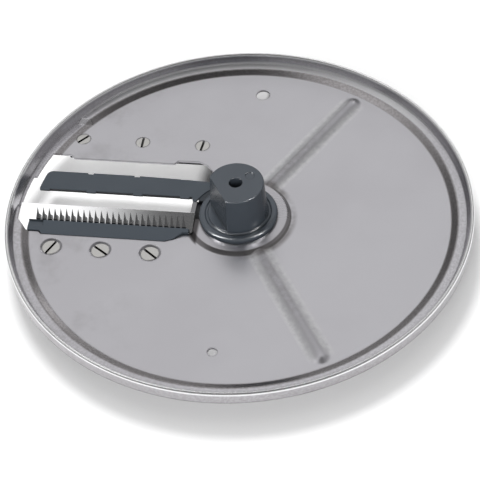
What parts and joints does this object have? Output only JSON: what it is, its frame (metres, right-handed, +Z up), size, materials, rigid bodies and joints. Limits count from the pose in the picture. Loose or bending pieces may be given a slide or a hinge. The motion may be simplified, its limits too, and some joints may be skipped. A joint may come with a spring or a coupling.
{
  "type": "julienne disc",
  "caption": "Steel julienne disc of a food processor: pressed plate with a window, an inclined polished blade, a row of pointed comb teeth, a rail for the food and a keyed hub.",
  "frame": {"origin": "on the drive axis, in the plane of the hub retainer's lower face that the disc rests on", "axes": "+Z up along the drive axis, out of the hub's top; the row of teeth runs along X on the -X side; food moves towards -Y over the rail and the blade's edge"},
  "size_m": [0.196, 0.196, 0.0328],
  "materials": {
    "plate": "satin stainless sheet",
    "blade": "mirror polished",
    "tooth": "ground",
    "plastic": "dark moulded",
    "fastener": "bright plated"
  },
  "bodies": {
    "root": {"disc_plate": "plate", "hub": "plastic", "hub_retainer": "plastic", "blade": "blade", "comb_holder": "plastic", "food_support": "plastic", "tooth_01": "tooth", "tooth_02": "tooth", "tooth_03": "tooth", "tooth_04": "tooth", "tooth_05": "tooth", "tooth_06": "tooth", "tooth_07": "tooth", "tooth_08": "tooth", "tooth_09": "tooth", "tooth_10": "tooth", "tooth_11": "tooth", "tooth_12": "tooth", "tooth_13": "tooth", "tooth_14": "tooth", "tooth_15": "tooth", "tooth_16": "tooth", "tooth_17": "tooth", "tooth_18": "tooth", "tooth_19": "tooth", "tooth_20": "tooth", "tooth_21": "tooth", "tooth_22": "tooth", "tooth_23": "tooth", "tooth_24": "tooth", "tooth_25": "tooth", "tooth_26": "tooth", "blade_screw_1": "fastener", "blade_screw_2": "fastener", "blade_screw_3": "fastener", "blade_nut_1": "fastener", "blade_nut_2": "fastener", "blade_nut_3": "fastener", "support_screw_1": "fastener", "support_screw_2": "fastener", "support_screw_3": "fastener", "support_nut_1": "fastener", "support_nut_2": "fastener", "support_nut_3": "fastener", "hub_screw_1": "fastener", "hub_screw_2": "fastener", "hub_screw_3": "fastener"}
  },
  "joints": []
}
